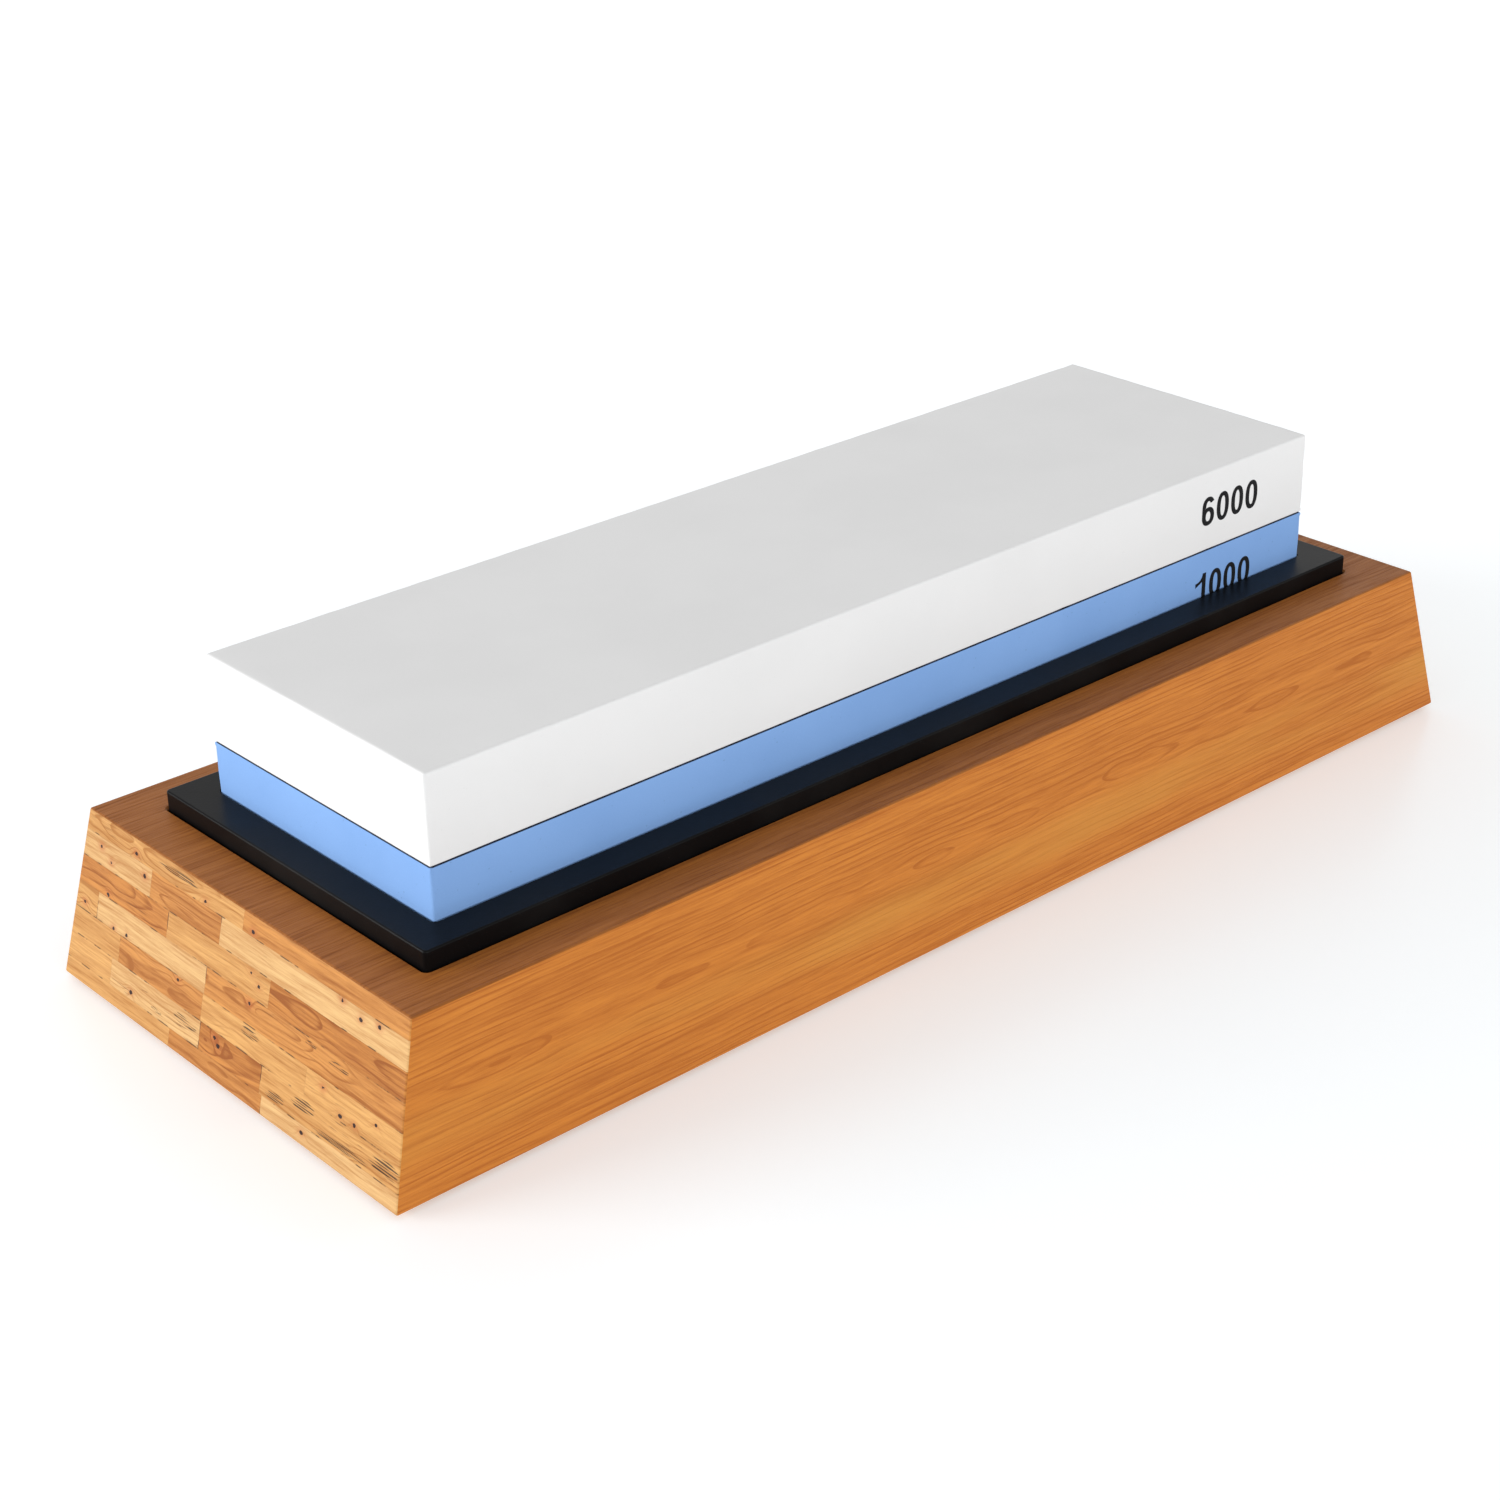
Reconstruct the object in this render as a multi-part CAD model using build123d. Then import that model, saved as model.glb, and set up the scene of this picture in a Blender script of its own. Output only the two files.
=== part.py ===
"""A two-grit sharpening whetstone in a rubber holder, on a glued-up wooden base.

Millimetres. The origin is the centre of the footprint, on the surface that the feet stand on.
+X runs along the stone, +Y across it and +Z up.

The stone is two abrasive blocks with a thin resin bond between them. It stands in the rubber
holder's pocket and lifts out to be turned over. The holder drops into a pocket in the base. The
base is seven courses of wooden staves, glued up brick-fashion, with sloping sides and ends, and
it stands on four rubber feet.
"""

from build123d import *

import os

# Stone: two abrasive layers of equal size with a resin bond between them.
STONE_LENGTH = 180.0
STONE_WIDTH = 52.0
LAYER_THICKNESS = 13.55
BOND_THICKNESS = 0.3
BOND_INSET = 0.1
STONE_ARRIS = 0.4

# Rubber holder: a tray with a rim round the stone and ribs across its floor.
RIM_WIDTH = 5.7
RIM_PROUD = 2.9
STONE_POCKET_DEPTH = 5.8
STONE_CLEARANCE = 0.15
STONE_POCKET_RADIUS = 0.8
STONE_POCKET_LIP = 0.25
HOLDER_CORNER_RADIUS = 0.7
HOLDER_EDGE_RADIUS = 0.3
HOLDER_FOOT_CHAMFER = 0.4
CHANNEL_COUNT = 14
CHANNEL_WIDTH = 9.0
CHANNEL_LENGTH = 44.0
CHANNEL_DEPTH = 1.2
RIB_WIDTH = 3.2

# Base: the flat border round the holder, the courses of staves and the slope of the faces.
BORDER_WIDTH = 8.0
OUTER_COURSE_HEIGHT = 3.0
INNER_COURSE_HEIGHT = 4.0
INNER_COURSES = 5
END_RUN = 6.4
SIDE_RUN = 2.4
BASE_EDGE_RADIUS = 0.4
HOLDER_CLEARANCE = 0.2
BASE_POCKET_RADIUS = 0.8
BASE_POCKET_LIP = 0.3

# Where each course's staves meet, as Y, from the back edge to the front. The first course is the top one.
STAVE_JOINTS = [
    [-1.4],
    [21.8, 3.7],
    [16.6, -9.2],
    [34.9, 5.9],
    [28.1, 6.1, -19.5],
    [29.7, 5.9, -9.5],
    [13.3, -10.2],
]

# Feet: round rubber pads, let into blind recesses under the corners of the base.
FOOT_RADIUS = 6.0
FOOT_THICKNESS = 2.0
FOOT_PROUD = 0.8
FOOT_EDGE_RADIUS = 0.4
FOOT_RECESS_RADIUS = 6.1
FOOT_X = 92.0
FOOT_Y = 29.0

# Levels and outlines that follow from the sizes above.
COURSE_HEIGHTS = [OUTER_COURSE_HEIGHT, *[INNER_COURSE_HEIGHT] * INNER_COURSES, OUTER_COURSE_HEIGHT]
BASE_BOTTOM_Z = FOOT_PROUD
BASE_TOP_Z = BASE_BOTTOM_Z + sum(COURSE_HEIGHTS)
BASE_POCKET_Z = BASE_TOP_Z - OUTER_COURSE_HEIGHT - INNER_COURSE_HEIGHT
RIM_Z = BASE_TOP_Z + RIM_PROUD
COARSE_Z = RIM_Z - STONE_POCKET_DEPTH
BOND_Z = COARSE_Z + LAYER_THICKNESS
FINE_Z = BOND_Z + BOND_THICKNESS

HOLDER_LENGTH = STONE_LENGTH + 2 * RIM_WIDTH
HOLDER_WIDTH = STONE_WIDTH + 2 * RIM_WIDTH
BASE_TOP_LENGTH = HOLDER_LENGTH + 2 * BORDER_WIDTH
BASE_TOP_WIDTH = HOLDER_WIDTH + 2 * BORDER_WIDTH

# More than the whole object, for cutting tools that pass right through it.
BEYOND = 300.0


def block(length, width, height, z, corner_radius=0.0):
    """An upright block centred on the Z axis, with its bottom at z and its upright edges rounded."""
    made = Pos(0, 0, z) * Box(length, width, height, align=(Align.CENTER, Align.CENTER, Align.MIN))
    if corner_radius:
        made = fillet(made.edges().filter_by(Axis.Z), corner_radius)
    return made


def mouth_edges(shape, length, width):
    """The edges round the mouth of a pocket of this length and width in the shape's top face."""
    highest = shape.edges().group_by(Axis.Z)[-1]
    within_length = highest.filter_by_position(Axis.X, -length / 2, length / 2)
    return within_length.filter_by_position(Axis.Y, -width / 2, width / 2)


def abrasive_layer(z, worked_face):
    """One abrasive block. Its worked face, top or bottom, and its upright edges have small arrises."""
    layer = block(STONE_LENGTH, STONE_WIDTH, LAYER_THICKNESS, z)
    rims = layer.edges().group_by(Axis.Z)
    worked = rims[-1] if worked_face == "top" else rims[0]
    return chamfer(worked + layer.edges().filter_by(Axis.Z), STONE_ARRIS)


def bond_film():
    """The resin film between the layers, set in a little from their faces."""
    film = block(STONE_LENGTH - 2 * BOND_INSET, STONE_WIDTH - 2 * BOND_INSET, BOND_THICKNESS, BOND_Z)
    return chamfer(film.edges().filter_by(Axis.Z), STONE_ARRIS)


def rubber_holder():
    """The moulded tray that grips the stone, with drain channels across its pocket's floor."""
    tray = block(HOLDER_LENGTH, HOLDER_WIDTH, RIM_Z - BASE_POCKET_Z, BASE_POCKET_Z, HOLDER_CORNER_RADIUS)
    tray = fillet(tray.edges().group_by(Axis.Z)[-1], HOLDER_EDGE_RADIUS)
    tray = chamfer(tray.edges().group_by(Axis.Z)[0], HOLDER_FOOT_CHAMFER)
    pocket_length = STONE_LENGTH + 2 * STONE_CLEARANCE
    pocket_width = STONE_WIDTH + 2 * STONE_CLEARANCE
    tray -= block(pocket_length, pocket_width, BEYOND, COARSE_Z, STONE_POCKET_RADIUS)
    tray = chamfer(mouth_edges(tray, pocket_length, pocket_width), STONE_POCKET_LIP)
    pitch = CHANNEL_WIDTH + RIB_WIDTH
    outline = SlotOverall(CHANNEL_LENGTH, CHANNEL_WIDTH, rotation=90)
    channel = extrude(outline, CHANNEL_DEPTH)
    for i in range(CHANNEL_COUNT):
        x = (i - (CHANNEL_COUNT - 1) / 2) * pitch
        tray -= Pos(x, 0, COARSE_Z - CHANNEL_DEPTH) * channel
    return tray


def sloped_prism(top, bottom, plane):
    """A trapezium drawn on an upright plane, from the base's bottom to its top, drawn out both ways."""
    outline = Polygon(
        (-bottom / 2, BASE_BOTTOM_Z),
        (bottom / 2, BASE_BOTTOM_Z),
        (top / 2, BASE_TOP_Z),
        (-top / 2, BASE_TOP_Z),
        align=None,
    )
    return extrude(plane * outline, BEYOND, both=True)


def foot_places():
    """The feet's names with their X and Y."""
    for end, x in (("left", -FOOT_X), ("right", FOOT_X)):
        for side, y in (("front", -FOOT_Y), ("back", FOOT_Y)):
            yield f"foot_{side}_{end}", x, y


def machined_base():
    """The outside of the whole glued-up base, with the holder's pocket and the feet's recesses cut."""
    ends = sloped_prism(BASE_TOP_LENGTH, BASE_TOP_LENGTH + 2 * END_RUN, Plane.XZ)
    sides = sloped_prism(BASE_TOP_WIDTH, BASE_TOP_WIDTH + 2 * SIDE_RUN, Plane.YZ)
    body = ends & sides
    body = fillet(body.edges(), BASE_EDGE_RADIUS)
    pocket_length = HOLDER_LENGTH + 2 * HOLDER_CLEARANCE
    pocket_width = HOLDER_WIDTH + 2 * HOLDER_CLEARANCE
    body -= block(pocket_length, pocket_width, BEYOND, BASE_POCKET_Z, BASE_POCKET_RADIUS)
    body = chamfer(mouth_edges(body, pocket_length, pocket_width), BASE_POCKET_LIP)
    recess_depth = FOOT_THICKNESS - FOOT_PROUD
    recess = Cylinder(FOOT_RECESS_RADIUS, recess_depth, align=(Align.CENTER, Align.CENTER, Align.MIN))
    for _, x, y in foot_places():
        body -= Pos(x, y, BASE_BOTTOM_Z) * recess
    return body


def staves():
    """The base sawn back into its staves. One that the pocket cuts in two gives a left and a right piece."""
    body = machined_base()
    top = BASE_TOP_Z
    for course, (height, joints) in enumerate(zip(COURSE_HEIGHTS, STAVE_JOINTS), start=1):
        bottom = top - height
        edges = [BEYOND, *joints, -BEYOND]
        for number, (back, front) in enumerate(zip(edges, edges[1:]), start=1):
            cell = Pos(0, (back + front) / 2, (bottom + top) / 2) * Box(BEYOND, back - front, height)
            pieces = (body & cell).solids().sort_by(Axis.X)
            name = f"course{course}_stave{number}"
            if len(pieces) == 1:
                yield name, pieces[0]
            else:
                for end, piece in zip(("left", "right"), pieces):
                    yield f"{name}_{end}", piece
        top = bottom


def foot(x, y):
    """One round pad, with the edge that meets the table rounded."""
    pad = Pos(x, y, 0) * Cylinder(FOOT_RADIUS, FOOT_THICKNESS, align=(Align.CENTER, Align.CENTER, Align.MIN))
    return fillet(pad.edges().group_by(Axis.Z)[0], FOOT_EDGE_RADIUS)


def all_nodes():
    """Every sub-part, as its node's name and its shape."""
    yield "fine_grit_layer", abrasive_layer(FINE_Z, "top")
    yield "bond_film", bond_film()
    yield "coarse_grit_layer", abrasive_layer(COARSE_Z, "bottom")
    yield "rubber_holder", rubber_holder()
    yield from staves()
    for name, x, y in foot_places():
        yield name, foot(x, y)


def main():
    os.makedirs("parts", exist_ok=True)
    for name, shape in all_nodes():
        export_step(shape, f"parts/{name}.step")


main()
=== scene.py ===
"""The sharpening whetstone's looks: its materials, its worn edges, its printed grit numbers and the stage."""

import math
import random

import bmesh
import bpy
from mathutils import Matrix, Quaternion, Vector, noise


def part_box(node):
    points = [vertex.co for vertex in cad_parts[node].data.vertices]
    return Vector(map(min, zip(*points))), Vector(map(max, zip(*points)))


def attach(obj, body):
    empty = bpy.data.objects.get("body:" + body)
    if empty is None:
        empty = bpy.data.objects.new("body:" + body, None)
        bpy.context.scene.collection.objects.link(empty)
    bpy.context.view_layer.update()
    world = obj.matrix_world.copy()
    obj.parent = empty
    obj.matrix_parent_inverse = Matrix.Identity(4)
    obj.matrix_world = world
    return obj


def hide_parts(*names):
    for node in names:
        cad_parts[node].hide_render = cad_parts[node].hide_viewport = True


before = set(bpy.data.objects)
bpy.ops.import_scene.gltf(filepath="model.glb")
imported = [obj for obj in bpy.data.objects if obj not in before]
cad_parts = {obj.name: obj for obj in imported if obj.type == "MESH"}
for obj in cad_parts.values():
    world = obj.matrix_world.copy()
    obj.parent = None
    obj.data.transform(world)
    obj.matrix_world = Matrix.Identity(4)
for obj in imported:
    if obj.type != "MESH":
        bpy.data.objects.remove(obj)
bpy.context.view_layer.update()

MM = 0.001
NO_SHIFT = (0.0, 0.0, 0.0)


def rgb(red, green, blue):
    """A colour given as 0 to 255 on screen, as the linear values that a shader takes."""
    screen = (red / 255, green / 255, blue / 255)
    return (*[c / 12.92 if c <= 0.04045 else ((c + 0.055) / 1.055) ** 2.4 for c in screen], 1.0)


# ---------------------------------------------------------------------------------------------
# Writing nodes
# ---------------------------------------------------------------------------------------------


class Graph:
    """A node tree. Each call adds one node and returns the output that the next call uses."""

    def __init__(self, tree):
        self.tree = tree

    def add(self, kind, **settings):
        node = self.tree.nodes.new(kind)
        for setting, value in settings.items():
            setattr(node, setting, value)
        return node

    def feed(self, socket, value):
        if isinstance(value, bpy.types.NodeSocket):
            self.tree.links.new(value, socket)
        else:
            socket.default_value = value

    def math(self, operation, *values):
        node = self.add("ShaderNodeMath", operation=operation)
        for socket, value in zip(node.inputs, values):
            self.feed(socket, value)
        return node.outputs[0]

    def times(self, *values):
        product = values[0]
        for value in values[1:]:
            product = self.math("MULTIPLY", product, value)
        return product

    def split(self, vector):
        node = self.add("ShaderNodeSeparateXYZ")
        self.feed(node.inputs[0], vector)
        return tuple(node.outputs)

    def join(self, x, y, z):
        node = self.add("ShaderNodeCombineXYZ")
        for socket, value in zip(node.inputs, (x, y, z)):
            self.feed(socket, value)
        return node.outputs[0]

    def stretch(self, vector, scales, shift=NO_SHIFT):
        node = self.add("ShaderNodeMapping")
        self.feed(node.inputs["Vector"], vector)
        node.inputs["Scale"].default_value = scales
        node.inputs["Location"].default_value = shift
        return node.outputs[0]

    def noise(self, vector, scale=1.0, detail=2.0, roughness=0.5):
        node = self.add("ShaderNodeTexNoise")
        self.feed(node.inputs["Vector"], vector)
        node.inputs["Scale"].default_value = scale
        node.inputs["Detail"].default_value = detail
        node.inputs["Roughness"].default_value = roughness
        return node.outputs["Fac"]

    def cells(self, vector, scale):
        node = self.add("ShaderNodeTexVoronoi")
        self.feed(node.inputs["Vector"], vector)
        node.inputs["Scale"].default_value = scale
        return node.outputs["Distance"]

    def step(self, value, low, high, bottom=0.0, top=1.0):
        """From bottom to top as the value goes from low to high, smoothly; low may be above high."""
        node = self.add("ShaderNodeMapRange", interpolation_type="SMOOTHSTEP")
        for socket, given in zip(node.inputs, (value, low, high, bottom, top)):
            self.feed(socket, given)
        return node.outputs["Result"]

    def mix(self, factor, first, second):
        node = self.add("ShaderNodeMix", data_type="RGBA")
        self.feed(node.inputs["Factor"], factor)
        self.feed(node.inputs[6], first)
        self.feed(node.inputs[7], second)
        return node.outputs[2]

    def blend(self, factor, first, second):
        """As mix, for numbers and for colours alike."""
        if any(isinstance(v, tuple) or getattr(v, "type", "") == "RGBA" for v in (first, second)):
            return self.mix(factor, first, second)
        node = self.add("ShaderNodeMix", data_type="FLOAT")
        self.feed(node.inputs["Factor"], factor)
        self.feed(node.inputs[2], first)
        self.feed(node.inputs[3], second)
        return node.outputs[0]


class Finish(Graph):
    """A material, whose Principled shader takes its colour, roughness and bump from the graph."""

    def __init__(self, name, **shader_values):
        self.material = bpy.data.materials.new(name)
        self.material.use_nodes = True
        super().__init__(self.material.node_tree)
        self.shader = self.tree.nodes["Principled BSDF"]
        for socket, value in shader_values.items():
            self.shader.inputs[socket.replace("_", " ")].default_value = value
        coordinates = self.add("ShaderNodeTexCoord").outputs
        self.place = self.stretch(coordinates["Object"], (1 / MM,) * 3)
        self.normal = coordinates["Normal"]

    def finish(self, colour, roughness, height, relief):
        """The relief is the height in millimetres of a bump of 1."""
        self.feed(self.shader.inputs["Base Color"], colour)
        self.feed(self.shader.inputs["Roughness"], roughness)
        node = self.add("ShaderNodeBump")
        node.inputs["Distance"].default_value = relief * MM
        self.feed(node.inputs["Height"], height)
        self.feed(self.shader.inputs["Normal"], node.outputs[0])
        return self.material


class Group(Graph):
    """A node group that several materials share."""

    def __init__(self, name, inputs, outputs):
        super().__init__(bpy.data.node_groups.new(name, "ShaderNodeTree"))
        for direction, sockets in (("INPUT", inputs), ("OUTPUT", outputs)):
            for socket, kind in sockets.items():
                self.tree.interface.new_socket(socket, in_out=direction, socket_type=f"NodeSocket{kind}")
        self.inputs = self.add("NodeGroupInput").outputs
        self.outputs = self.add("NodeGroupOutput").inputs

    def use(self, graph, **values):
        node = graph.add("ShaderNodeGroup", node_tree=self.tree)
        for socket, value in values.items():
            graph.feed(node.inputs[socket], value)
        return node.outputs


def clad(node_name, material):
    """Gives a CAD node its material."""
    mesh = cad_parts[node_name].data
    mesh.materials.clear()
    mesh.materials.append(material)


def add_piece(name, mesh, body, slot, *nodes):
    """Puts a mesh into the scene as a piece that rides on a body, in the place of any CAD nodes named."""
    piece = bpy.data.objects.new(name, mesh)
    bpy.context.scene.collection.objects.link(piece)
    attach(piece, body)
    if nodes:
        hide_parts(*nodes)


# ---------------------------------------------------------------------------------------------
# Wood
# ---------------------------------------------------------------------------------------------

# Each tone: its pale early wood, its dark late wood, and its dashes.
TONES = {
    "cream": (rgb(214, 173, 116), rgb(176, 125, 72), rgb(92, 52, 26)),
    "light": (rgb(209, 158, 93), rgb(166, 110, 54), rgb(88, 48, 22)),
    "orange": (rgb(200, 137, 68), rgb(152, 91, 38), rgb(80, 42, 20)),
    "brown": (rgb(194, 128, 58), rgb(142, 80, 30), rgb(70, 36, 16)),
}
SIDE_TONE = (rgb(203, 126, 47), rgb(174, 99, 34), rgb(144, 73, 25))
# The top's tone is the sides' wood made darker: partly the top's own tone, partly painted shade, as from the
# stone and the holder that stand over it.
TOP_TONE_AND_SHADE = (rgb(168, 103, 44), rgb(132, 75, 30), rgb(89, 48, 19))
UNDERSIDE_TONE = (rgb(206, 146, 82), rgb(172, 110, 54), rgb(116, 62, 30))
ROUTED_TONE = (rgb(214, 162, 104), rgb(184, 128, 74), rgb(130, 78, 44))
YELLOW_BAND = rgb(204, 144, 62)
GLUE = rgb(54, 28, 14)
STREAK = rgb(46, 27, 15)
KNOT_HEART = rgb(44, 20, 10)
KNOT_HALO = rgb(172, 88, 48)

# Each figure: how dark its ring lines are, their spacing, how deep their centre lies under the face,
# how much that depth changes along the grain, how far the lines wander, and how many dashes there are.
FIGURE_VALUES = ("Lines", "Spacing", "Depth", "Taper", "Wander", "Dashes")
FIGURES = {
    "plain": (0.3, 0.9, 5.0, 2.0, 0.7, 0.3),
    "streaked": (0.6, 0.75, 5.0, 2.5, 0.9, 1.0),
    "cathedral": (0.9, 0.8, 1.4, 3.2, 0.7, 0.5),
    "swirl": (0.9, 0.75, 1.6, 2.4, 2.6, 0.6),
    "side": (0.95, 0.9, 1.5, 2.0, 0.6, 0.25),
    "top": (0.5, 0.9, 5.0, 3.0, 0.8, 0.3),
}
# How far from the middle of a stave's end the centre of its rings lies.
PITH_DISTANCES = {"plain": 9.0, "streaked": 6.0, "cathedral": 0.6, "swirl": 0.9}

# Each stave's tone and figure on its sawn ends, its knots, as Y and height from the middle of its
# course, and its bunches of dark streaks, as Y, height, half length and half height.
STAVES = {
    "course1_stave1": ("light", "swirl", [(26.3, -0.7), (8.0, -1.0)], [(15.0, 0.3, 5.5, 0.5)]),
    "course1_stave2": ("orange", "plain", [(-3.9, -0.8)], []),
    "course2_stave1": ("cream", "plain", [(35.4, 0.6), (32.5, -0.8), (23.6, 0.5)], []),
    "course2_stave2_left": ("orange", "swirl", [], []),
    "course2_stave2_right": ("orange", "swirl", [], []),
    "course2_stave3": ("cream", "plain", [(-25.2, 1.6), (-29.5, 0.7), (-33.5, 1.3)], []),
    "course3_stave1": ("brown", "swirl", [(32.4, -1.5)], []),
    "course3_stave2": ("light", "plain", [(-4.6, 1.2), (-6.6, 0.0)], []),
    "course3_stave3": ("brown", "cathedral", [], []),
    "course4_stave1": ("light", "swirl", [(38.4, -0.8)], []),
    "course4_stave2": ("cream", "plain", [(26.6, -1.5), (30.2, -1.8)], []),
    "course4_stave3": (
        "orange",
        "cathedral",
        [(-5.0, 1.0)],
        [(-19.7, 1.2, 1.4, 0.4), (-26.2, 0.7, 2.4, 0.5)],
    ),
    "course5_stave1": ("light", "plain", [], []),
    "course5_stave2": ("orange", "swirl", [(12.6, 1.4)], []),
    "course5_stave3": ("light", "streaked", [], [(-5.8, 1.0, 2.6, 0.7)]),
    "course5_stave4": ("light", "plain", [(-23.4, 0.8), (-35.5, 0.8), (-27.8, -1.3), (-31.0, -1.2)], []),
    "course6_stave1": ("light", "plain", [], []),
    "course6_stave2": ("cream", "streaked", [(24.0, -1.0)], [(9.5, 0.4, 3.4, 0.9), (17.0, -0.9, 1.6, 0.4)]),
    "course6_stave3": ("brown", "swirl", [(2.2, 1.1), (1.2, 0.3)], []),
    "course6_stave4": (
        "light",
        "streaked",
        [],
        [(-19.4, 0.6, 3.2, 1.1), (-38.0, 0.2, 3.8, 1.3), (-13.0, -1.0, 2.6, 0.8), (-28.0, -1.2, 7.5, 0.6)],
    ),
    "course7_stave1": ("light", "plain", [], []),
    "course7_stave2": ("orange", "cathedral", [], []),
    "course7_stave3": ("cream", "plain", [(-20.0, 0.4)], []),
}
# The height of the pith behind the sides' figure, and its Y under the top's and the underside's.
SIDE_CENTRE = 15.5
TOP_CENTRE = 75.0
# The yellower band along the sides: the heights where it comes in and goes out, and its strength.
YELLOW_IN = (4.0, 9.0)
YELLOW_OUT = (15.0, 10.0)
YELLOW_STRENGTH = 0.5

BASE_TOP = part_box("course1_stave1")[1].z / MM
# A face looks along an axis where its normal's part along it is over this.
FACING = 0.6
# A face that looks up from further under the base's top than this is the pocket's floor.
ROUTED_DEPTH = 1.0

# What sets the noise of one face apart from the next one's, and of one stave's ends from another's.
BACK_SEED = 53.0
FAR_END_SEED = 37.0
TOP_SEED = 11.0
ROUTED_SEED = 17.0
UNDERSIDE_SEED = 29.0
STAVE_SEEDS = (0.0, 90.0)

# The noises in the grain: how often each varies in a millimetre along the grain and across it, and with
# the seed; its shift; its detail; and its roughness. "yellow" varies along X, Y and Z instead.
GRAIN_NOISES = {
    "wander": ((0.03, 0.17, 1.0), NO_SHIFT, 2.5, 0.5),
    "pith": ((0.06, 0.0, 1.0), (3.7, 1.3, 9.1), 1.5, 0.5),
    "spacing": ((0.015, 0.45, 1.0), NO_SHIFT, 1.0, 0.5),
    "patch": ((0.05, 0.3, 1.0), (8.0, 2.0, 4.0), 2.0, 0.5),
    "bands": ((0.02, 0.5, 1.0), (2.0, 3.0, 7.0), 4.0, 0.6),
    "fibre": ((0.1, 2.3, 1.0), NO_SHIFT, 5.0, 0.72),
    "dash": ((0.22, 3.6, 1.0), (1.0, 7.0, 2.0), 2.0, 0.6),
    "yellow": ((0.015, 0.0, 0.08), NO_SHIFT, 2.0, 0.5),
}
# Where these noises start to show and show in full. The ring lines fade to a faint share in patches,
# and the dashes are left out of them.
BANDS_SHOW = (0.38, 0.68)
FIBRE_SHOWS = (0.35, 0.72)
DASHES_SHOW = (0.62, 0.7)
YELLOW_SHOWS = (0.35, 0.6)
PATCHED_LINES = (0.32, 0.6, 0.15, 1.0)
PATCHED_DASHES = (0.45, 0.6)

# A ring's line darkens slowly over its first part and ends sharply.
RING_DARKENS = (0.6, 0.92)
RING_ENDS = (1.0, 0.94)
RING_DRIFT = 2.0
# How much each of these adds to the shade, from early wood to late wood, a dash's stain and its depth.
LINE_SHADE = 0.75
BAND_SHADE = 0.45
FIBRE_SHADE = 0.65
DASH_STAIN = 0.7
DASH_DEPTH = 0.5

# A knot: how far it pushes the rings aside, its shape and edge, how fast its swelling and its halo fall
# away, and the least and most of its radius and its stain.
KNOT_SWELL = 0.9
KNOT_STRETCH = 0.6
KNOT_RAGGEDNESS = 0.25
KNOT_RAGGED_RATE = 1.8
KNOT_EDGE = (1.3, 0.8)
SWELL_FALL = 0.9
HALO_FALL = 2.2
KNOT_RADII = (0.2, 0.31)
KNOT_STAINS = (0.2, 0.6)

# A bunch: where its edge fades, how narrow a streak is, how often each varies along the bunch, across
# it and with the seed, and a streak's stain.
BUNCH_EDGE = (1.5, 1.1)
STREAK_EDGE = (0.5, 0.58)
BUNCH_EDGE_RATES = (1.5, 1.5, 1.0)
STREAK_RATES = (0.6, 4.2, 1.0)
STREAK_STAIN = 0.9

# The glue: its half width where it has faded and where it is solid, the noise that breaks it up, and how
# dark it is at its faintest and at its darkest.
GLUE_HALF_WIDTH = 0.13
GLUE_SOLID_WIDTH = 0.03
GLUE_NOISE = (0.35, 4.0)
GLUE_BREAKS = (0.5, 0.62)
GLUE_FAINT_TO_DARK = (0.06, 0.9)

# The wood's gloss, the heights from its hollows to its ridges, its roughness at each of these, and its
# relief in millimetres.
WOOD_GLOSS = 0.17
WOOD_HEIGHTS = (-0.2, 1.0)
WOOD_ROUGHNESS = (0.62, 0.42)
WOOD_RELIEF = 0.025


def chosen(g, masks, values):
    """The first value, or the value of the mask that is 1."""
    result = values[0]
    for mask, value in zip(masks, values[1:]):
        result = g.blend(mask, result, value)
    return result


def grain_noise(g, name, vector):
    """One of the grain's noises, from 0 to 1."""
    scales, shift, detail, roughness = GRAIN_NOISES[name]
    return g.noise(g.stretch(vector, scales, shift), detail=detail, roughness=roughness)


def face_masks(g, normal, z):
    """1 on a sawn end, on the top, on the pocket's floor and on the underside. A side has 0 for all four."""
    along, _, up = g.split(normal)
    end = g.math("GREATER_THAN", g.math("ABSOLUTE", along), FACING)
    top = g.math("GREATER_THAN", up, FACING)
    routed = g.times(top, g.math("LESS_THAN", z, BASE_TOP - ROUTED_DEPTH))
    under = g.math("LESS_THAN", up, -FACING)
    return end, top, routed, under


def ring_lines(g, along, radius, seed, spacing):
    """A thin line at the end of each ring, from 0 to 1."""
    uneven = grain_noise(g, "spacing", g.join(along, radius, seed))
    rings = g.math("MULTIPLY_ADD", uneven, RING_DRIFT, g.math("DIVIDE", radius, spacing))
    phase = g.math("FRACT", rings)
    return g.times(g.step(phase, *RING_DARKENS), g.step(phase, *RING_ENDS))


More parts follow.
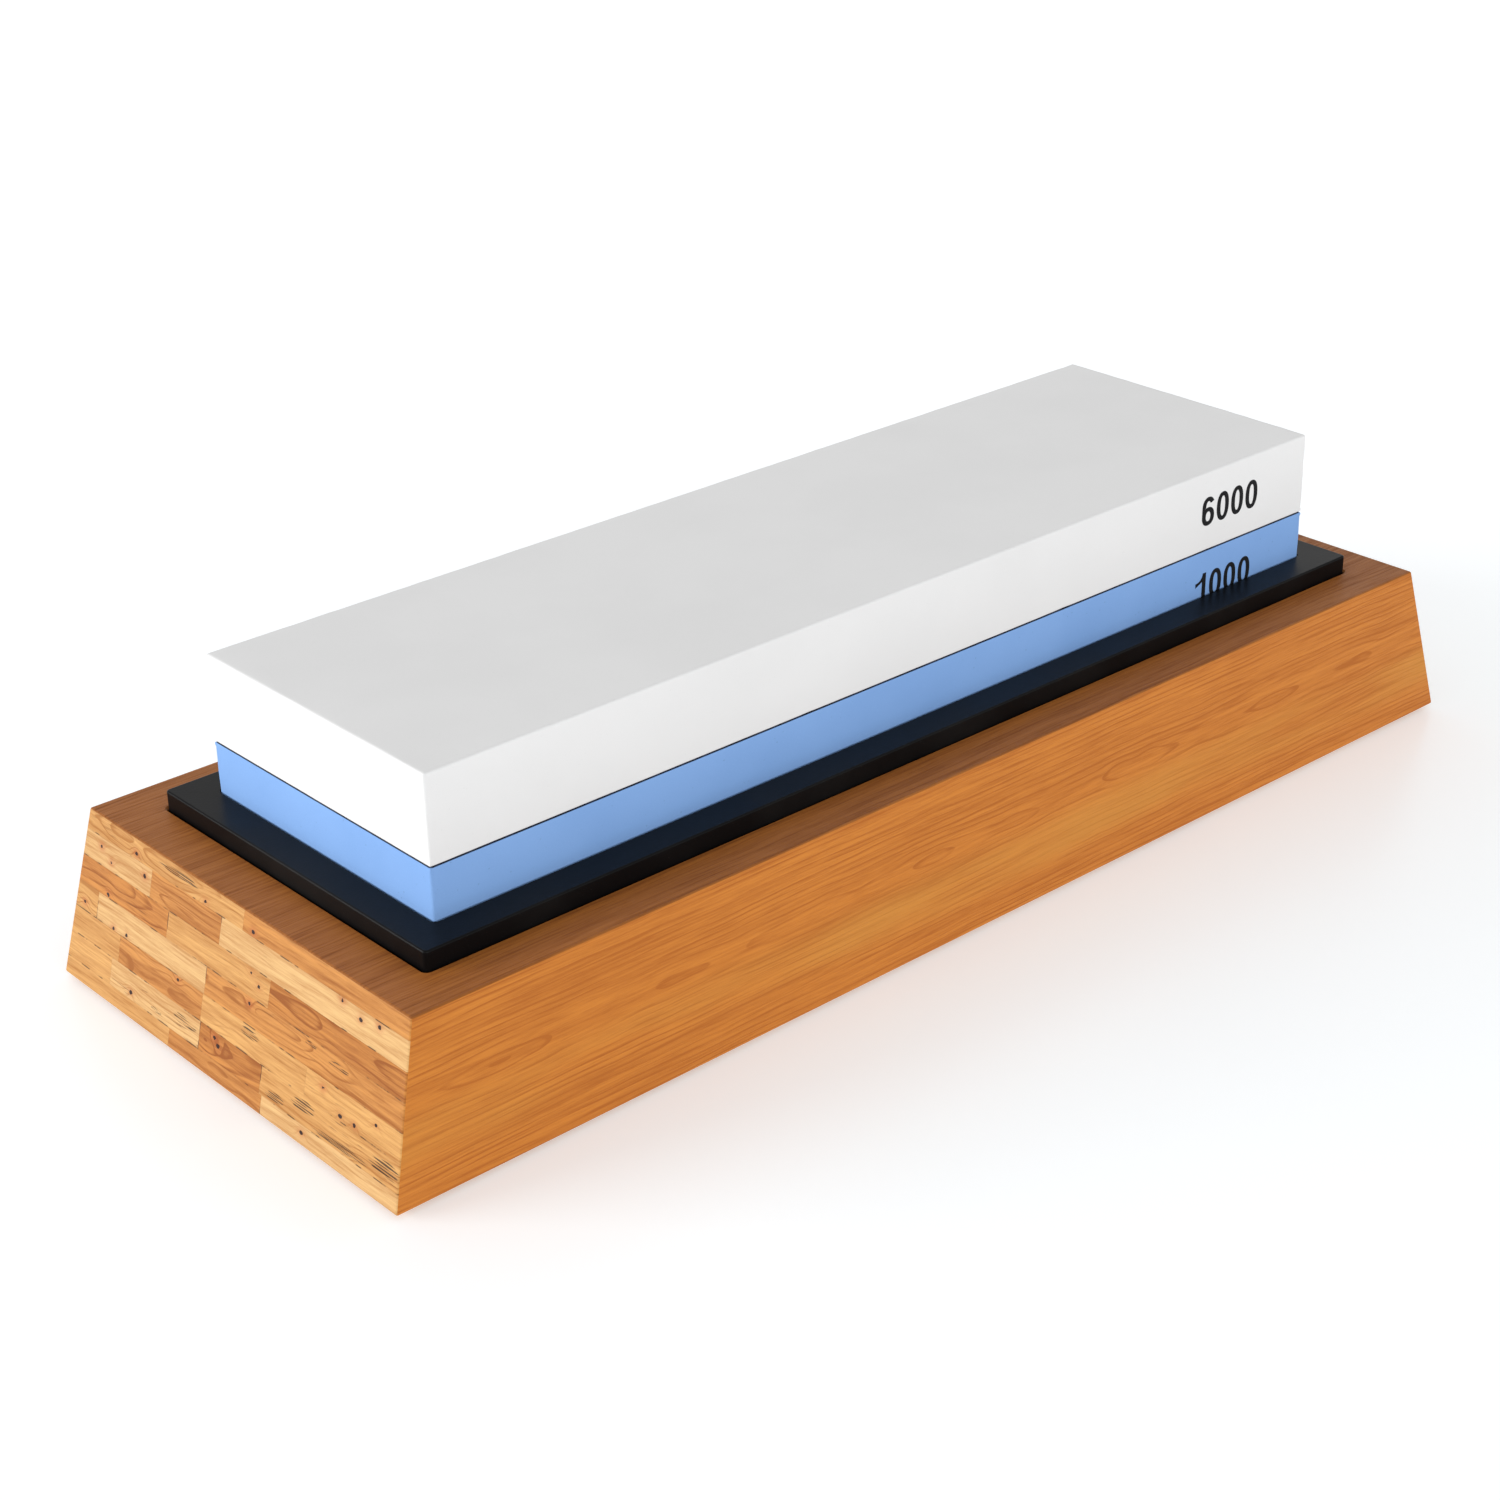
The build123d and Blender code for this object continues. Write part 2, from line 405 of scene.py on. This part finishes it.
def wood_group():
    """Sawn wood on every face of a stave, in millimetres.

    The figure on an end is the stave's own. The sides, the top and the underside have grain that runs
    on from stave to stave. Its lines are rings round a pith at a changing depth under the face, so
    they make nested arches where the pith is near and straight lines elsewhere.
    """
    vectors = {"Place": "Vector", "Normal": "Vector"}
    colours = {"Early": "Color", "Late": "Color", "Dark": "Color"}
    numbers = {n: "Float" for n in (*FIGURE_VALUES, "Centre", "Seed", "Swell")}
    g = Group("wood", vectors | colours | numbers, {"Colour": "Color", "Height": "Float", "End": "Float"})
    own = g.inputs
    x, y, z = g.split(own["Place"])
    masks = face_masks(g, own["Normal"], z)
    end, top, _, under = masks

    side, flat = FIGURES["side"], FIGURES["top"]
    figure = {
        n: chosen(g, masks, (side[k], own[n], flat[k], flat[k], flat[k]))
        for k, n in enumerate(FIGURE_VALUES)
    }
    # On the top, the tones carry painted shade as well as the wood's own colour.
    tones = zip(SIDE_TONE, (own["Early"], own["Late"], own["Dark"]), TOP_TONE_AND_SHADE, ROUTED_TONE, UNDERSIDE_TONE)
    early, late, dark = (chosen(g, masks, shades) for shades in tones)
    along = g.blend(end, x, y)
    across = g.blend(g.math("MAXIMUM", top, under), z, y)
    centre = chosen(g, masks, (SIDE_CENTRE, own["Centre"], TOP_CENTRE, TOP_CENTRE, TOP_CENTRE))
    side_seed = g.times(g.math("GREATER_THAN", y, 0.0), BACK_SEED)
    seed = chosen(g, masks, (side_seed, own["Seed"], TOP_SEED, ROUTED_SEED, UNDERSIDE_SEED))
    seeded = g.join(along, across, seed)

    # How far the pith lies from a point, across the grain and under the face.
    wander = g.math("SUBTRACT", grain_noise(g, "wander", seeded), 0.5)
    beside = g.math("SUBTRACT", across, centre)
    offset = g.math("MULTIPLY_ADD", wander, g.times(figure["Wander"], 2.0), beside)
    rise = g.math("SUBTRACT", grain_noise(g, "pith", seeded), 0.5)
    depth = g.math("MULTIPLY_ADD", rise, g.times(figure["Taper"], 2.0), figure["Depth"])
    radius = g.math("SQRT", g.math("ADD", g.times(offset, offset), g.times(depth, depth)))
    radius = g.math("MULTIPLY_ADD", own["Swell"], end, radius)

    # The shade is 0 on early wood and 1 on late wood.
    patch = grain_noise(g, "patch", seeded)
    lines = g.times(ring_lines(g, along, radius, seed, figure["Spacing"]), figure["Lines"])
    lines = g.times(lines, g.step(patch, *PATCHED_LINES))
    flowing = g.join(along, offset, seed)
    bands = g.step(grain_noise(g, "bands", flowing), *BANDS_SHOW)
    fibre = g.step(grain_noise(g, "fibre", flowing), *FIBRE_SHOWS, 0.0, FIBRE_SHADE)
    shade = g.math("MULTIPLY_ADD", bands, BAND_SHADE, g.times(lines, LINE_SHADE))
    shade = g.math("ADD", shade, fibre)
    colour = g.mix(g.math("MINIMUM", shade, 1.0), early, late)
    dash = g.step(grain_noise(g, "dash", seeded), *DASHES_SHOW)
    dash = g.times(dash, figure["Dashes"], g.step(patch, *PATCHED_DASHES))
    colour = g.mix(g.times(dash, DASH_STAIN), colour, dark)

    strength = chosen(g, masks, (YELLOW_STRENGTH, 0.0, 0.0, 0.0, 0.0))
    band = g.times(g.step(z, *YELLOW_IN), g.step(z, *YELLOW_OUT), strength)
    broken = g.step(grain_noise(g, "yellow", own["Place"]), *YELLOW_SHOWS)
    g.feed(g.outputs["Colour"], g.mix(g.times(band, broken), colour, YELLOW_BAND))
    hollow = g.math("MULTIPLY_ADD", dash, DASH_DEPTH, shade)
    g.feed(g.outputs["Height"], g.math("SUBTRACT", 1.0, hollow))
    g.feed(g.outputs["End"], end)
    return g


def knot_group():
    """A pin knot: how it swells the rings round it, its stain and its heart."""
    inputs = {n: "Float" for n in ("Run", "Rise", "Ragged", "Size")}
    g = Group("knot", inputs, {"Swell": "Float", "Halo": "Float", "Heart": "Float"})
    run, rise, ragged, size = (g.inputs[n] for n in ("Run", "Rise", "Ragged", "Size"))
    square = g.math("MULTIPLY_ADD", g.times(run, run), KNOT_STRETCH, g.times(rise, rise))
    g.feed(g.outputs["Swell"], g.math("EXPONENT", g.times(square, -SWELL_FALL)))
    g.feed(g.outputs["Halo"], g.math("EXPONENT", g.times(square, -HALO_FALL)))
    reach = g.math("MULTIPLY_ADD", g.math("SUBTRACT", ragged, 0.5), KNOT_RAGGEDNESS, square)
    g.feed(g.outputs["Heart"], g.step(g.math("DIVIDE", reach, g.times(size, size)), *KNOT_EDGE))
    return g


def bunch_group():
    """A bunch of thin dark streaks, side by side."""
    inputs = {n: "Float" for n in ("Run", "Rise", "Seed")}
    g = Group("bunch", inputs, {"Streaks": "Float"})
    run, rise, seed = (g.inputs[n] for n in ("Run", "Rise", "Seed"))
    square = g.math("ADD", g.times(run, run), g.times(rise, rise))
    edge = g.noise(g.stretch(g.join(run, rise, seed), BUNCH_EDGE_RATES))
    inside = g.step(g.math("ADD", square, edge), *BUNCH_EDGE)
    streaks = g.noise(g.stretch(g.join(run, rise, seed), STREAK_RATES), detail=1.0)
    g.feed(g.outputs["Streaks"], g.times(inside, g.step(streaks, *STREAK_EDGE)))
    return g


def glue_lines(g, low, high, y, z, end):
    """The glue round a stave's sawn end, where the noise leaves it dark or faint."""
    beside = g.math("MINIMUM", g.math("SUBTRACT", y, low.y), g.math("SUBTRACT", high.y, y))
    above = g.math("MINIMUM", g.math("SUBTRACT", z, low.z), g.math("SUBTRACT", high.z, z))
    line = g.step(g.math("MINIMUM", beside, above), GLUE_HALF_WIDTH, GLUE_SOLID_WIDTH)
    broken = g.step(g.noise(g.place, *GLUE_NOISE), *GLUE_BREAKS, *GLUE_FAINT_TO_DARK)
    return g.times(line, end, broken)


def stave_material(name):
    """One stave: its own figure, knots and glue lines on its sawn ends, and the shared grain elsewhere."""
    tone, figure, knots, bunches = STAVES[name]
    low, high = (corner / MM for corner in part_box(name))
    middle = (low.z + high.z) / 2
    draw = random.Random(name)
    g = Finish(name, Specular_IOR_Level=WOOD_GLOSS)
    x, y, z = g.split(g.place)

    # The two ends of a stave don't match, so the far end has its own seed.
    far_end = g.math("GREATER_THAN", x, 0.0)
    seed = g.math("ADD", g.times(far_end, FAR_END_SEED), draw.uniform(*STAVE_SEEDS))
    swell, halo, heart, streaks = 0.0, 0.0, 0.0, 0.0
    ragged = g.noise(g.join(y, z, seed), KNOT_RAGGED_RATE) if knots else 0.0
    for knot_y, knot_up in knots:
        run = g.math("SUBTRACT", y, knot_y)
        rise = g.math("SUBTRACT", z, middle + knot_up)
        knot = pin_knot.use(g, Run=run, Rise=rise, Ragged=ragged, Size=draw.uniform(*KNOT_RADII))
        swell = g.math("MULTIPLY_ADD", knot["Swell"], KNOT_SWELL, swell)
        halo = g.math("MAXIMUM", g.times(knot["Halo"], draw.uniform(*KNOT_STAINS)), halo)
        heart = g.math("MAXIMUM", knot["Heart"], heart)
    for bunch_y, bunch_up, half_length, half_height in bunches:
        run = g.math("DIVIDE", g.math("SUBTRACT", y, bunch_y), half_length)
        rise = g.math("DIVIDE", g.math("SUBTRACT", z, middle + bunch_up), half_height)
        bunch = bunch_of_streaks.use(g, Run=run, Rise=rise, Seed=seed)
        streaks = g.math("MAXIMUM", bunch["Streaks"], streaks)

    early, late, dark = TONES[tone]
    own = dict(zip(FIGURE_VALUES, FIGURES[figure]), Early=early, Late=late, Dark=dark)
    centre = middle + draw.choice((-1.0, 1.0)) * PITH_DISTANCES[figure]
    sawn = wood.use(g, Place=g.place, Normal=g.normal, Centre=centre, Seed=seed, Swell=swell, **own)
    colour, end = sawn["Colour"], sawn["End"]
    if knots:
        colour = g.mix(g.times(halo, end), colour, KNOT_HALO)
        colour = g.mix(g.times(heart, end), colour, KNOT_HEART)
    if bunches:
        colour = g.mix(g.times(streaks, end, STREAK_STAIN), colour, STREAK)
    colour = g.mix(glue_lines(g, low, high, y, z, end), colour, GLUE)
    roughness = g.step(sawn["Height"], *WOOD_HEIGHTS, *WOOD_ROUGHNESS)
    return g.finish(colour, roughness, sawn["Height"], WOOD_RELIEF)


wood = wood_group()
pin_knot = knot_group()
bunch_of_streaks = bunch_group()
for stave in STAVES:
    clad(stave, stave_material(stave))


# ---------------------------------------------------------------------------------------------
# Rubber, abrasive, resin and ink
# ---------------------------------------------------------------------------------------------


# Most of a noise's values lie between these.
NOISE_RANGE = (0.3, 0.7)

# Below, a noise is how often it varies in a millimetre, its detail and its roughness. What shows, wears
# or fades does so from the noise's first value to its second.
RUBBER_GLOSS = 0.085
RUBBER_RELIEF = 0.01
RUBBER_SKIN = (2.2, 3.0, 0.6)
BLOOM_NOISE = (0.06, 4.0)
BLOOM_SHOWS = (0.4, 0.75)
DUST = rgb(120, 118, 116)
DUST_RATE = 5.0
DUST_SHOWS = (0.68, 0.8)
DUST_STRENGTH = 0.12

ABRASIVE_GLOSS = 0.12
ABRASIVE_RELIEF = 0.015
ABRASIVE_ROUGHNESS = (0.78, 0.95)
CLOUD_NOISE = (0.05, 4.0)
CLOUD_SHOWS = (0.35, 0.7)
CLOUD_STRENGTH = 0.5
PALE_GRAINS_SHOW = (0.55, 0.75)
DARK_GRAINS_SHOW = (0.45, 0.25)
PITS_TO_GRAINS = 0.22
PIT_EDGE = (0.16, 0.05)
PIT_SHADE = 0.55
PITTED_RATE = 0.5
PITTED_SHOWS = (0.5, 0.62)

RESIN = rgb(16, 20, 34)
SMEARED_RESIN = rgb(40, 50, 76)
RESIN_GLOSS = 0.2
RESIN_RELIEF = 0.02
RESIN_ROUGHNESS = (0.45, 0.7)
SMEAR_NOISE = (0.9, 4.0)
SMEAR_SHOWS = (0.4, 0.75)

INK = rgb(18, 18, 21)
WORN_INK = rgb(52, 52, 56)
INK_GLOSS = 0.15
INK_RELIEF = 0.008
INK_ROUGHNESS = (0.55, 0.8)
INK_NOISE = (3.5, 3.0)
INK_WEARS = (0.58, 0.78)


def rubber_material(name, colour, spread, roughnesses):
    """Moulded rubber: a fine skin, a little bloom and a trace of dust."""
    g = Finish(name, Specular_IOR_Level=RUBBER_GLOSS)
    bloom = g.noise(g.place, *BLOOM_NOISE)
    skin = g.noise(g.place, *RUBBER_SKIN)
    dust = g.step(g.noise(g.place, DUST_RATE), *DUST_SHOWS, 0.0, DUST_STRENGTH)
    base = g.mix(g.step(bloom, *BLOOM_SHOWS), colour, spread)
    colour = g.mix(dust, base, DUST)
    return g.finish(colour, g.step(bloom, *NOISE_RANGE, *roughnesses), skin, RUBBER_RELIEF)


def abrasive_material(name, base, dark, pale, grit, pits, specks):
    """Sintered abrasive. The grit is how fine its grain is; pits and specks are how much each shows."""
    g = Finish(name, Specular_IOR_Level=ABRASIVE_GLOSS)
    cloud = g.noise(g.place, *CLOUD_NOISE)
    grains = g.noise(g.place, grit, detail=3.0, roughness=0.7)
    colour = g.mix(g.step(cloud, *CLOUD_SHOWS, 0.0, CLOUD_STRENGTH), base, dark)
    colour = g.mix(g.step(grains, *PALE_GRAINS_SHOW, 0.0, specks), colour, pale)
    colour = g.mix(g.step(grains, *DARK_GRAINS_SHOW, 0.0, specks), colour, dark)
    pit = g.step(g.cells(g.place, grit * PITS_TO_GRAINS), *PIT_EDGE)
    pit = g.times(pit, g.step(g.noise(g.place, PITTED_RATE), *PITTED_SHOWS))
    hollow = (*[PIT_SHADE * c for c in dark[:3]], 1.0)
    colour = g.mix(g.times(pit, pits), colour, hollow)
    roughness = g.step(grains, *NOISE_RANGE, *ABRASIVE_ROUGHNESS)
    return g.finish(colour, roughness, g.math("SUBTRACT", grains, pit), ABRASIVE_RELIEF)


def resin_material():
    """The line of resin between the layers, darker where it has filled and paler where it has smeared."""
    g = Finish("resin", Specular_IOR_Level=RESIN_GLOSS)
    smear = g.noise(g.place, *SMEAR_NOISE)
    colour = g.mix(g.step(smear, *SMEAR_SHOWS), RESIN, SMEARED_RESIN)
    return g.finish(colour, g.step(smear, *NOISE_RANGE, *RESIN_ROUGHNESS), smear, RESIN_RELIEF)


def ink_material():
    """Printing ink, greyer where it has worn thin."""
    g = Finish("printed_ink", Specular_IOR_Level=INK_GLOSS)
    cover = g.noise(g.place, *INK_NOISE)
    colour = g.mix(g.step(cover, *INK_WEARS), INK, WORN_INK)
    return g.finish(colour, g.step(cover, *NOISE_RANGE, *INK_ROUGHNESS), cover, INK_RELIEF)


clad("rubber_holder", rubber_material("holder_rubber", rgb(11, 11, 12), rgb(20, 20, 20), (0.3, 0.42)))
foot_rubber = rubber_material("foot_rubber", rgb(38, 38, 40), rgb(52, 52, 54), (0.55, 0.75))
for node_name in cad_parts:
    if node_name.startswith("foot_"):
        clad(node_name, foot_rubber)
clad("bond_film", resin_material())

# ---------------------------------------------------------------------------------------------
# The stone's two blocks, with arrises that are a little uneven, as dressing leaves them
# ---------------------------------------------------------------------------------------------

# The arrises' radii, and the shares of a block's thickness where one gives way to the next.
BONDED_ARRIS = 0.1
UPRIGHT_ARRIS = 0.4
WORKED_ARRIS = 0.42
BONDED_SHARE = 0.03
WORKED_SHARE = 0.9
# The arrises' unevenness, as amounts and how often each varies in a millimetre, and the nibbles in them.
UNEVENNESS = ((0.3, 0.35), (0.25, 1.3))
NIBBLE_RATE = 0.9
NIBBLE_FROM = 0.42
NIBBLE_DEPTH = 0.5
NIBBLE_SHIFT = Vector((7.0, 3.0, 5.0))

# The mesh's cells, and the closer steps in from each edge.
CELL = 2.0
EDGE_STEPS = (0.0, 0.08, 0.2, 0.36, 0.6)
TINY = 1e-6


def stations(low, high):
    """Places along one side of a block, close together near its ends and about a cell apart between."""
    near = [low + s for s in EDGE_STEPS]
    far = [high - s for s in reversed(EDGE_STEPS)]
    cells = round((far[0] - near[-1]) / CELL)
    between = [near[-1] + (far[0] - near[-1]) * i / cells for i in range(1, cells)]
    return near + between + far


def arris_at(point, share):
    """The radius of a block's edge at a point. The share is 0 at the bonded face and 1 at the worked face."""
    if share < BONDED_SHARE:
        arris = BONDED_ARRIS
    elif share < WORKED_SHARE:
        arris = UPRIGHT_ARRIS
    else:
        arris = WORKED_ARRIS
    arris *= 1.0 + sum(amount * noise.noise(point * rate) for amount, rate in UNEVENNESS)
    nibble = noise.noise(point * NIBBLE_RATE + NIBBLE_SHIFT)
    return arris + NIBBLE_DEPTH * max(0.0, nibble - NIBBLE_FROM)


def worn_block(name, node, worked_face, material, slot):
    """A block in the place of a CAD node, with its edges eased and nibbled, inside the node's box."""
    low, high = (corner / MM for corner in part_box(node))
    rows = [stations(low[axis], high[axis]) for axis in range(3)]
    builder = bmesh.new()
    corners = {}

    def corner(key):
        if key not in corners:
            point = Vector(row[place] for row, place in zip(rows, key))
            share = (point.z - low.z) / (high.z - low.z)
            arris = arris_at(point, share if worked_face == "top" else 1.0 - share)
            inner = Vector(min(max(p, lo + arris), hi - arris) for p, lo, hi in zip(point, low, high))
            out = point - inner
            eased = inner + out.normalized() * arris if out.length > TINY else point
            corners[key] = builder.verts.new(eased * MM)
        return corners[key]

    for axis in range(3):
        first, second = [a for a in range(3) if a != axis]
        for end in (0, len(rows[axis]) - 1):
            for i in range(len(rows[first]) - 1):
                for j in range(len(rows[second]) - 1):
                    ring = []
                    for across, up in ((0, 0), (1, 0), (1, 1), (0, 1)):
                        key = [end, end, end]
                        key[first], key[second] = i + across, j + up
                        ring.append(corner(tuple(key)))
                    builder.faces.new(ring)
    bmesh.ops.recalc_face_normals(builder, faces=builder.faces)
    mesh = bpy.data.meshes.new(name)
    builder.to_mesh(mesh)
    builder.free()
    mesh.shade_smooth()
    mesh.materials.append(material)
    add_piece(name, mesh, "stone", slot, node)


# Each abrasive's middle, dark and pale colour.
WHITES = (rgb(227, 227, 227), rgb(222, 222, 222), rgb(233, 233, 233))
BLUES = (rgb(131, 170, 224), rgb(121, 160, 215), rgb(147, 184, 233))
fine = abrasive_material("fine_abrasive", *WHITES, grit=6.0, pits=0.12, specks=0.4)
coarse = abrasive_material("coarse_abrasive", *BLUES, grit=4.0, pits=0.35, specks=0.5)
worn_block("fine_grit_block", "fine_grit_layer", "top", fine, "fine_abrasive")
worn_block("coarse_grit_block", "coarse_grit_layer", "bottom", coarse, "coarse_abrasive")

# ---------------------------------------------------------------------------------------------
# The grit numbers printed on the stone's front
# ---------------------------------------------------------------------------------------------

DIGIT_WIDTH = 3.0
DIGIT_HEIGHT = 4.95
DIGIT_PITCH = 3.64
STROKE = 0.92
LEVEL_STROKE = 0.8 * STROKE
INK_THICKNESS = 0.03

# The ellipses are squared off by these powers. The 1 has a flag; the 6 has a bowl under a crown. The
# crown's tip, outside and inside, and the bowl's end under it are angles in degrees.
ZERO_POWER = 0.88
SIX_POWER = 0.92
STEM_LEFT = 0.58 * DIGIT_WIDTH
FLAG_LEFT = 0.1
FLAG_DROP = 1.45
FLAG_FOOT = 2.2
BOWL_HALF_HEIGHT = 1.58
CROWN_HALF_HEIGHT = 1.75
CROWN_TIP = 28
CROWN_INNER_TIP = 32
BOWL_END = 482

# Each number: its digits, its left end's X, and how far below the stone's top it stands.
NUMBERS = {
    "fine_grit_number": ("6000", 63.9, 9.35),
    "coarse_grit_number": ("1000", 63.1, 22.6),
}


def arc(centre, radii, start, end, steps, power=1.0):
    """Points along an ellipse, squared off when the power is under 1, between two angles in degrees."""
    points = []
    for i in range(steps + 1):
        angle = math.radians(start + (end - start) * i / steps)
        cosine, sine = math.cos(angle), math.sin(angle)
        x = centre[0] + radii[0] * math.copysign(abs(cosine) ** power, cosine)
        points.append((x, centre[1] + radii[1] * math.copysign(abs(sine) ** power, sine)))
    return points


def digit_outlines(digit):
    """The closed outlines of a digit in a narrow bold face, in millimetres from its lower left corner."""
    half = DIGIT_WIDTH / 2
    if digit == "0":
        middle = (half, DIGIT_HEIGHT / 2)
        inner_radii = (half - STROKE, middle[1] - LEVEL_STROKE)
        outer = arc(middle, middle, 0, 360, steps=40, power=ZERO_POWER)
        inner = arc(middle, inner_radii, 0, 360, steps=40, power=ZERO_POWER)
        return [outer[:-1], inner[:-1]]
    if digit == "1":
        right = STEM_LEFT + STROKE
        shoulder = (STEM_LEFT + FLAG_LEFT, DIGIT_HEIGHT)
        stem = [(STEM_LEFT, 0.0), (right, 0.0), (right, DIGIT_HEIGHT), shoulder]
        flag = arc((FLAG_LEFT, DIGIT_HEIGHT), (STEM_LEFT, FLAG_DROP), 0, -90, steps=8)
        under = [(FLAG_LEFT, DIGIT_HEIGHT - FLAG_FOOT), (STEM_LEFT, DIGIT_HEIGHT - FLAG_DROP)]
        return [stem + flag[1:] + under]
    bowl = (half, BOWL_HALF_HEIGHT)
    crown = (half, DIGIT_HEIGHT - CROWN_HALF_HEIGHT)
    crown_inside = (half - STROKE, CROWN_HALF_HEIGHT - LEVEL_STROKE)
    bowl_inside = (half - STROKE, BOWL_HALF_HEIGHT - LEVEL_STROKE)
    back = arc(crown, (half, CROWN_HALF_HEIGHT), CROWN_TIP, 180, steps=14, power=SIX_POWER)
    outer = back + arc(bowl, bowl, 180, BOWL_END, steps=30, power=SIX_POWER)
    inside = arc(crown, crown_inside, 180, CROWN_INNER_TIP, steps=12, power=SIX_POWER)
    hole = arc(bowl, bowl_inside, 0, 360, steps=30, power=SIX_POWER)
    return [outer + inside, hole[:-1]]


def grit_number(name, digits, left, below_top, ink):
    """A number printed on the front face of the stone."""
    curve = bpy.data.curves.new(name, "CURVE")
    curve.dimensions = "2D"
    curve.fill_mode = "BOTH"
    curve.extrude = INK_THICKNESS
    for place, digit in enumerate(digits):
        for outline in digit_outlines(digit):
            spline = curve.splines.new("POLY")
            spline.points.add(len(outline) - 1)
            for point, (x, y) in zip(spline.points, outline):
                point.co = (x + place * DIGIT_PITCH, y, 0.0, 1.0)
            spline.use_cyclic_u = True
    drawing = bpy.data.objects.new(name, curve)
    mesh = bpy.data.meshes.new_from_object(drawing)
    bpy.data.objects.remove(drawing)
    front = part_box("fine_grit_layer")[0].y / MM
    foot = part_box("fine_grit_layer")[1].z / MM - below_top
    for v in mesh.vertices:
        v.co = Vector((left + v.co.x, front - v.co.z, foot + v.co.y)) * MM
    mesh.materials.append(ink)
    add_piece(name, mesh, "stone", "printed_ink")


printed_ink = ink_material()
for number_name, (digits, left, below_top) in NUMBERS.items():
    grit_number(number_name, digits, left, below_top, printed_ink)

# ---------------------------------------------------------------------------------------------
# The stage: floor, light and camera
# ---------------------------------------------------------------------------------------------

# The camera, in the shared frame: where it stands, which way it looks, its roll and its lens.
CAMERA_PLACE = (-0.26851, -0.29193, 0.21101)
CAMERA_AZIMUTH = -41.369
CAMERA_ELEVATION = 26.336
CAMERA_ROLL = -1.128
CAMERA_LENS = 66.88
SENSOR_WIDTH = 36.0
CAMERA_SEES_FROM = 0.01
CAMERA_SEES_TO = 200.0

FLOOR_REACH = 40.0
FLOOR_COLOUR = (0.72, 0.755, 0.775, 1.0)
FLOOR_GLOW = 0.36
FLOOR_ROUGHNESS = 0.3
FLOOR_GLOSS = 0.5
WHITE = (1.0, 1.0, 1.0, 1.0)

# The sky's strength low and high, and the heights in degrees where it is the one and the other.
SKY_LOW = 1.05
SKY_HIGH = 0.62
SKY_LOW_UP_TO = 20.0
SKY_HIGH_FROM = 34.0

# Each light: where it stands, its width, height and power. Both of them aim at the stone.
LIGHTS = {
    "key_light": ((-2.4, 1.4, 0.78), 1.8, 0.9, 57.0),
    "fill_light": ((-0.4, -3.0, 0.45), 2.4, 0.8, 25.0),
}
LIGHTS_AIM = (0.0, 0.0, 0.03)


def lay_floor():
    r = FLOOR_REACH
    mesh = bpy.data.meshes.new("floor")
    mesh.from_pydata([(-r, -r, 0), (r, -r, 0), (r, r, 0), (-r, r, 0)], [], [(0, 1, 2, 3)])
    white = Finish(
        "floor",
        Roughness=FLOOR_ROUGHNESS,
        Emission_Strength=FLOOR_GLOW,
        Specular_IOR_Level=FLOOR_GLOSS,
        Base_Color=FLOOR_COLOUR,
        Emission_Color=WHITE,
    )
    mesh.materials.append(white.material)
    ground = bpy.data.objects.new("floor", mesh)
    bpy.context.scene.collection.objects.link(ground)


def light_the_sky():
    """A white sky, bright round the horizon and softer overhead."""
    world = bpy.data.worlds.new("studio")
    world.use_nodes = True
    sky = Graph(world.node_tree)
    height = sky.split(sky.add("ShaderNodeTexCoord").outputs["Generated"])[2]
    low, high = (math.sin(math.radians(a)) for a in (SKY_LOW_UP_TO, SKY_HIGH_FROM))
    background = world.node_tree.nodes["Background"]
    background.inputs["Color"].default_value = WHITE
    sky.feed(background.inputs["Strength"], sky.step(height, low, high, SKY_LOW, SKY_HIGH))
    bpy.context.scene.world = world


def area_light(name, place, width, height, watts):
    lamp = bpy.data.lights.new(name, "AREA")
    lamp.shape = "RECTANGLE"
    lamp.size = width
    lamp.size_y = height
    lamp.energy = watts
    light = bpy.data.objects.new(name, lamp)
    light.location = place
    light.rotation_mode = "QUATERNION"
    light.rotation_quaternion = (Vector(LIGHTS_AIM) - Vector(place)).to_track_quat("-Z", "Y")
    bpy.context.scene.collection.objects.link(light)


def place_camera():
    azimuth, elevation, roll = (math.radians(a) for a in (CAMERA_AZIMUTH, CAMERA_ELEVATION, CAMERA_ROLL))
    level = math.cos(elevation)
    back = Vector((math.sin(azimuth) * level, -math.cos(azimuth) * level, math.sin(elevation)))
    lens = bpy.data.cameras.new("camera")
    lens.lens = CAMERA_LENS
    lens.sensor_width = SENSOR_WIDTH
    lens.clip_start = CAMERA_SEES_FROM
    lens.clip_end = CAMERA_SEES_TO
    view = bpy.data.objects.new("camera", lens)
    view.location = CAMERA_PLACE
    view.rotation_mode = "QUATERNION"
    view.rotation_quaternion = (-back).to_track_quat("-Z", "Y") @ Quaternion((0.0, 0.0, 1.0), roll)
    bpy.context.scene.collection.objects.link(view)
    bpy.context.scene.camera = view


lay_floor()
light_the_sky()
for light_name, values in LIGHTS.items():
    area_light(light_name, *values)
bpy.context.scene.view_settings.view_transform = "Standard"
place_camera()
